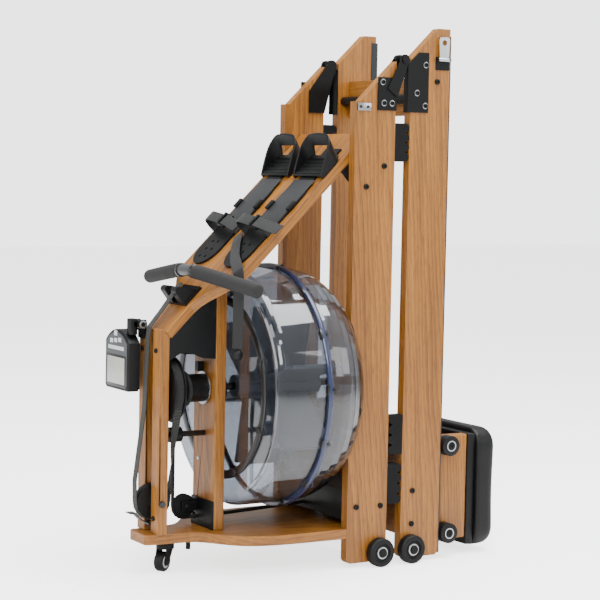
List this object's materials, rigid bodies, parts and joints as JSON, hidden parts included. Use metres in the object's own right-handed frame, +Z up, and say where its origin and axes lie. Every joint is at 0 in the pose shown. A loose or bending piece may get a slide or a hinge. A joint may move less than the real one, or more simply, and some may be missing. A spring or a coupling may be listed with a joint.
{
  "type": "rowing machine",
  "caption": "Wooden water rowing machine folded upright, with tank, paddle, sliding seat, handle on a belt, footboard and tilting monitor.",
  "frame": {"origin": "middle of the machine's box at floor level, stored upright on its wheels", "axes": "+Z up, +X from the footrest side towards the seat, Y across the machine"},
  "size_m": [0.84, 0.523, 1.15],
  "materials": {
    "wood": "oiled, satin",
    "black_steel": "satin powder coat",
    "black_plastic": "fine moulded",
    "tank_clear": "polished clear polycarbonate",
    "tank_seal": "moulded",
    "bright_steel": "zinc plated",
    "grey_metal": "satin",
    "track_metal": "satin anodised",
    "cord": "braided",
    "webbing": "woven",
    "grey_plastic": "fine moulded",
    "screen": "satin",
    "rubber": "matt",
    "grip_foam": "foam",
    "upholstery": "fine grain"
  },
  "bodies": {
    "base_frame": {"base_board": "wood", "front_posts": "wood", "spine_board": "wood", "footboard": "wood", "front_rail_near": "wood", "front_rail_far": "wood", "front_cross_beam": "black_steel", "corner_plates": "black_steel", "neck_shroud": "black_plastic", "tank_front_shell": "tank_clear", "tank_rear_shell": "tank_clear", "tank_rings": "tank_seal", "bearing_housing": "black_plastic", "pulley_axles": "bright_steel", "belt_guard": "grey_metal", "pulley_bracket": "black_steel", "return_cord": "cord", "drive_belt": "webbing", "handle_rest": "black_plastic", "monitor_bracket": "black_steel", "toe_plates": "grey_plastic", "toe_straps": "webbing", "heel_strap": "webbing", "front_hinge_brackets": "black_steel", "front_feet": "rubber", "front_bolts": "black_steel", "caster_plate": "black_steel"},
    "rotor": {"drive_shaft": "bright_steel", "paddle": "grey_metal"},
    "spool": {"belt_spool": "black_plastic"},
    "pulley": {"front_pulley": "black_plastic"},
    "guide_roller": {"guide_roller": "black_plastic"},
    "cord_pulley": {"cord_pulley": "black_plastic"},
    "handle": {"handle_bar": "grey_metal", "handle_grips": "grip_foam"},
    "monitor": {"monitor_case": "grey_plastic", "monitor_screen": "screen"},
    "key_start": {"key_start": "black_plastic"},
    "key_left": {"key_left": "black_plastic"},
    "key_middle": {"key_middle": "black_plastic"},
    "key_right": {"key_right": "black_plastic"},
    "key_strip": {"key_strip": "black_plastic"},
    "heel_near": {"heel_cup_near": "black_plastic"},
    "heel_far": {"heel_cup_far": "black_plastic"},
    "rear_frame": {"rear_rail_near": "wood", "rear_rail_far": "wood", "seat_tracks": "track_metal", "rear_cross_boards": "wood", "rear_hinge_plates": "black_steel", "rear_feet": "rubber", "rear_bolts": "black_steel"},
    "latch": {"latch_lever": "bright_steel"},
    "front_wheels": {"front_wheels": "rubber"},
    "rear_wheels": {"rear_wheels": "rubber"},
    "caster_swivel": {"caster_fork": "black_steel"},
    "caster_roll": {"caster_wheel": "rubber"},
    "seat": {"seat_cushion": "upholstery", "seat_carriage": "wood"},
    "rollers_upper": {"seat_rollers_upper": "rubber"},
    "rollers_lower": {"seat_rollers_lower": "rubber"}
  },
  "joints": [
    {"name": "fold", "type": "hinge", "parent": "base_frame", "child": "rear_frame", "pos_m": [0.1351, 0, 1.08], "axis": [0, -1, 0], "range_deg": [0, 180]},
    {"name": "seat_slide", "type": "slide", "parent": "rear_frame", "child": "seat", "axis": [0, 0, 1], "range_m": [0, 0.7]},
    {"name": "rollers_upper_spin", "type": "hinge", "parent": "seat", "child": "rollers_upper", "pos_m": [0.279, 0, 0.248], "axis": [0, 1, 0], "continuous": true},
    {"name": "rollers_lower_spin", "type": "hinge", "parent": "seat", "child": "rollers_lower", "pos_m": [0.279, 0, 0.055], "axis": [0, 1, 0], "continuous": true},
    {"name": "handle_pull", "type": "slide", "parent": "base_frame", "child": "handle", "axis": [-0.3, 0, 0.9539], "range_m": [0, 1], "stiffness_N_per_m": 25, "springref_m": -0.4},
    {"name": "spool_spin", "type": "hinge", "parent": "base_frame", "child": "spool", "pos_m": [-0.297, 0, 0.382], "axis": [1, 0, 0], "continuous": true},
    {"name": "pulley_spin", "type": "hinge", "parent": "base_frame", "child": "pulley", "pos_m": [-0.366, 0, 0.15], "axis": [0, 1, 0], "continuous": true},
    {"name": "cord_pulley_spin", "type": "hinge", "parent": "base_frame", "child": "cord_pulley", "pos_m": [-0.274, 0.0345, 0.127], "axis": [0, 1, 0], "continuous": true},
    {"name": "guide_roller_spin", "type": "hinge", "parent": "base_frame", "child": "guide_roller", "pos_m": [-0.316, 0, 0.286], "axis": [1, 0, 0], "continuous": true},
    {"name": "paddle_spin", "type": "hinge", "parent": "base_frame", "child": "rotor", "pos_m": [-0.073, 0, 0.382], "axis": [1, 0, 0], "continuous": true},
    {"name": "monitor_tilt", "type": "hinge", "parent": "base_frame", "child": "monitor", "pos_m": [-0.386, 0.034, 0.518], "axis": [0, 1, 0], "range_deg": [0, 90]},
    {"name": "key_start_press", "type": "slide", "parent": "monitor", "child": "key_start", "axis": [1, 0, 0], "range_m": [0, 0.0008], "stiffness_N_per_m": 300},
    {"name": "key_left_press", "type": "slide", "parent": "monitor", "child": "key_left", "axis": [1, 0, 0], "range_m": [0, 0.0008], "stiffness_N_per_m": 300},
    {"name": "key_middle_press", "type": "slide", "parent": "monitor", "child": "key_middle", "axis": [1, 0, 0], "range_m": [0, 0.0008], "stiffness_N_per_m": 300},
    {"name": "key_right_press", "type": "slide", "parent": "monitor", "child": "key_right", "axis": [1, 0, 0], "range_m": [0, 0.0008], "stiffness_N_per_m": 300},
    {"name": "key_strip_press", "type": "slide", "parent": "monitor", "child": "key_strip", "axis": [1, 0, 0], "range_m": [0, 0.0008], "stiffness_N_per_m": 300},
    {"name": "heel_near_slide", "type": "slide", "parent": "base_frame", "child": "heel_near", "axis": [0.7108, 0, 0.7034], "range_m": [-0.05, 0.06]},
    {"name": "heel_far_slide", "type": "slide", "parent": "base_frame", "child": "heel_far", "axis": [0.7108, 0, 0.7034], "range_m": [-0.05, 0.06]},
    {"name": "latch_lift", "type": "hinge", "parent": "rear_frame", "child": "latch", "pos_m": [0.2335, -0.164, 1.084], "axis": [1, 0, 0], "range_deg": [0, 150]},
    {"name": "front_wheels_roll", "type": "hinge", "parent": "base_frame", "child": "front_wheels", "pos_m": [0.096, 0, 0.031], "axis": [0, 1, 0], "continuous": true},
    {"name": "rear_wheels_roll", "type": "hinge", "parent": "rear_frame", "child": "rear_wheels", "pos_m": [0.176, 0, 0.031], "axis": [0, 1, 0], "continuous": true},
    {"name": "caster_turn", "type": "hinge", "parent": "base_frame", "child": "caster_swivel", "pos_m": [-0.333, 0, 0.055], "axis": [0, 0, 1], "continuous": true},
    {"name": "caster_wheel_roll", "type": "hinge", "parent": "caster_swivel", "child": "caster_roll", "pos_m": [-0.34295, -0.00671, 0.021], "axis": [0.5592, -0.829, 0], "continuous": true}
  ],
  "couplings": [
    {"joint": "spool_spin", "follows": "handle_pull", "rad_per_m": 16.393},
    {"joint": "pulley_spin", "follows": "handle_pull", "rad_per_m": 26.525},
    {"joint": "cord_pulley_spin", "follows": "handle_pull", "rad_per_m": 21.967},
    {"joint": "rollers_upper_spin", "follows": "seat_slide", "rad_per_m": 45.455},
    {"joint": "rollers_lower_spin", "follows": "seat_slide", "rad_per_m": 45.455}
  ]
}
